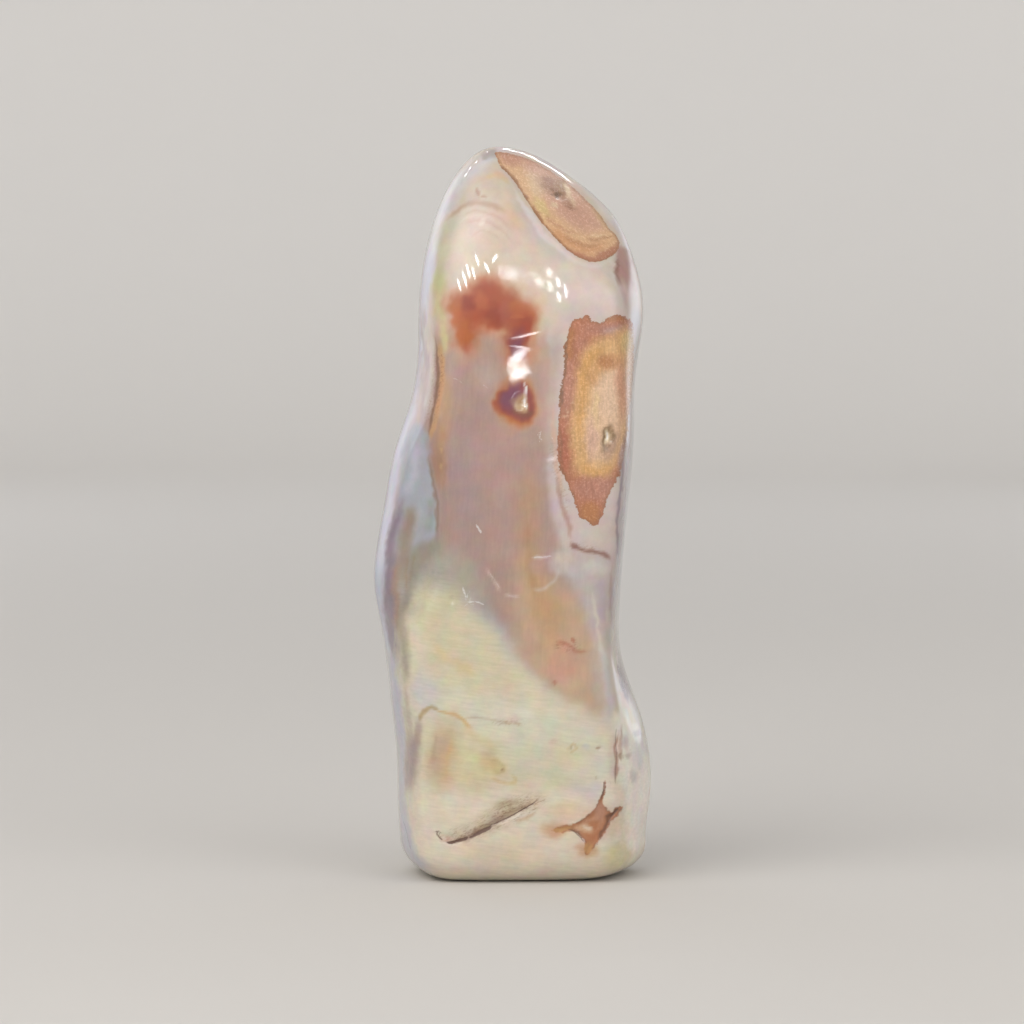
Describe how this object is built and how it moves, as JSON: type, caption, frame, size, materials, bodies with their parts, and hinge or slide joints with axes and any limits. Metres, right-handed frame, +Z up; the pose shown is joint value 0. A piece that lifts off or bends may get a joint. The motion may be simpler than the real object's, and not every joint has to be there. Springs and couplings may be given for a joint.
{
  "type": "polychrome jasper free-form",
  "caption": "Polished free-form tower of polychrome jasper with slanted ground faces, a scooped side and a flat sawn foot to stand on.",
  "frame": {"origin": "in the plane of the sawn foot, under the middle of the stone's bounding box", "axes": "+Z up along the stone's height, -Y out of the broad show face, +X to the right of a person who looks at the show face"},
  "size_m": [0.0571, 0.0401, 0.149],
  "materials": {
    "jasper": "polished to a gloss"
  },
  "bodies": {
    "root": {"jasper_freeform": "jasper"}
  },
  "joints": []
}
